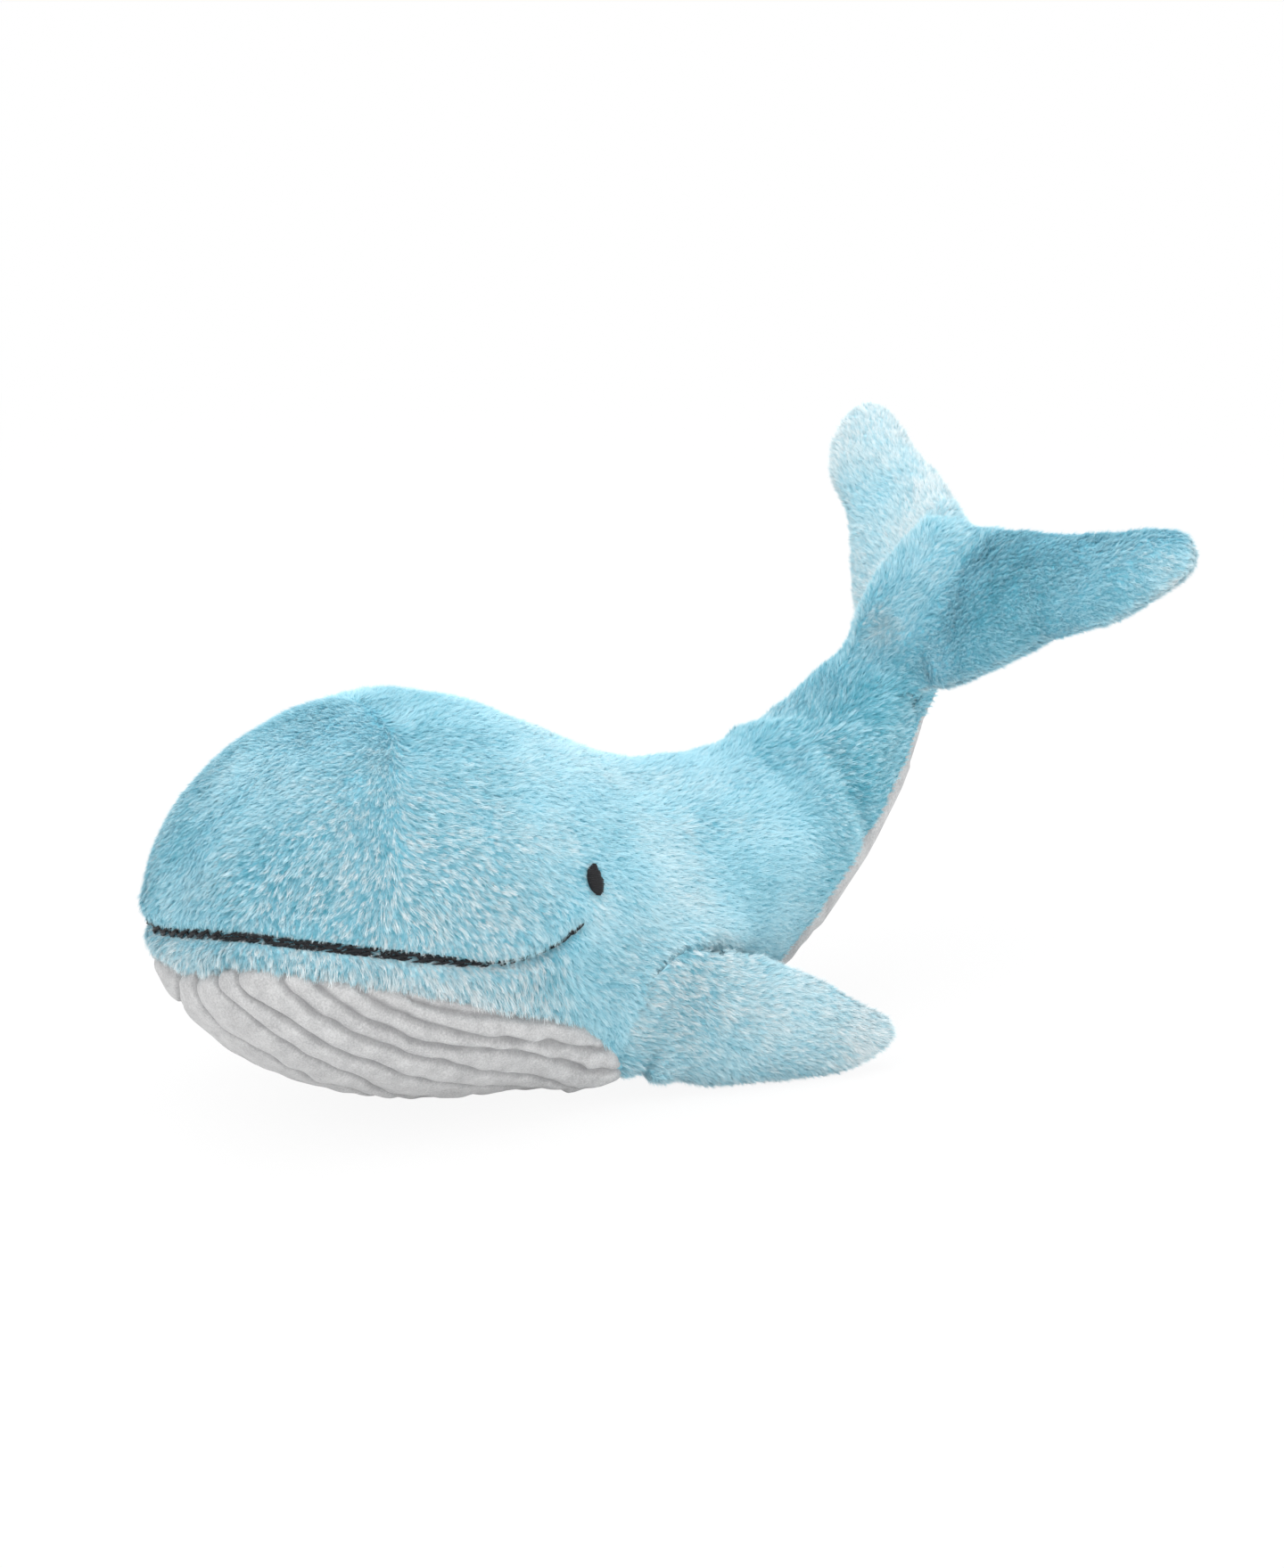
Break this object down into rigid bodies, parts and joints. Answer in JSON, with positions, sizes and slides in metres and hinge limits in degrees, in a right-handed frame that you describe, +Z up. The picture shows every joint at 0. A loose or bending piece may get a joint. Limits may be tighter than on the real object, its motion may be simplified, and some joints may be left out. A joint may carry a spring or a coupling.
{
  "type": "plush whale",
  "caption": "Soft stuffed whale that lies on its belly, with a ribbed pale underside, embroidered mouth and eyes, side fins and a raised tail with two flukes.",
  "frame": {"origin": "on the floor, at the flat of the belly, on the middle plane of the body", "axes": "-X towards the nose, +X towards the tail, -Y to the whale's left side, +Z up"},
  "size_m": [0.3672, 0.2266, 0.1958],
  "materials": {
    "blue_fur": "short soft pile, light blue",
    "pale_fur": "short soft pile, pale blue",
    "white_velour": "short nap, off-white",
    "black_thread": "satin stitch, slightly glossy",
    "polyester_fibre": "loose white fibre",
    "pouch_cloth": "plain woven cloth"
  },
  "bodies": {
    "trunk": {"left_side_panel": "blue_fur", "right_side_panel": "blue_fur", "lip_band": "pale_fur", "belly_panel": "white_velour", "mouth_line": "black_thread", "left_eye": "black_thread", "right_eye": "black_thread", "body_filling": "polyester_fibre", "pellet_pouch": "pouch_cloth"},
    "tail": {"tail_cover": "blue_fur", "tail_belly_strip": "white_velour", "tail_filling": "polyester_fibre"},
    "fluke_left": {"left_fluke": "pale_fur"},
    "fluke_right": {"right_fluke": "pale_fur"},
    "fin_left": {"left_fin": "pale_fur"},
    "fin_right": {"right_fin": "pale_fur"}
  },
  "joints": [
    {"name": "tail_bend", "type": "hinge", "parent": "trunk", "child": "tail", "pos_m": [0.11444, 0, 0.07153], "axis": [0, -1, 0], "range_deg": [-20, 15], "stiffness_Nm_per_rad": 1.5},
    {"name": "left_fluke_flap", "type": "hinge", "parent": "tail", "child": "fluke_left", "pos_m": [0.16576, -0.02, 0.12443], "axis": [-0.5878, 0, -0.809], "range_deg": [-25, 25], "stiffness_Nm_per_rad": 0.4},
    {"name": "right_fluke_flap", "type": "hinge", "parent": "tail", "child": "fluke_right", "pos_m": [0.16576, 0.02, 0.12443], "axis": [0.5878, 0, 0.809], "range_deg": [-25, 25], "stiffness_Nm_per_rad": 0.4},
    {"name": "left_fin_swing", "type": "hinge", "parent": "trunk", "child": "fin_left", "pos_m": [0.03333, -0.05484, 0.03396], "axis": [-0.4067, 0, -0.9135], "range_deg": [-6, 40], "stiffness_Nm_per_rad": 0.3},
    {"name": "right_fin_swing", "type": "hinge", "parent": "trunk", "child": "fin_right", "pos_m": [0.03333, 0.05484, 0.03396], "axis": [0.4067, 0, 0.9135], "range_deg": [-6, 40], "stiffness_Nm_per_rad": 0.3}
  ]
}
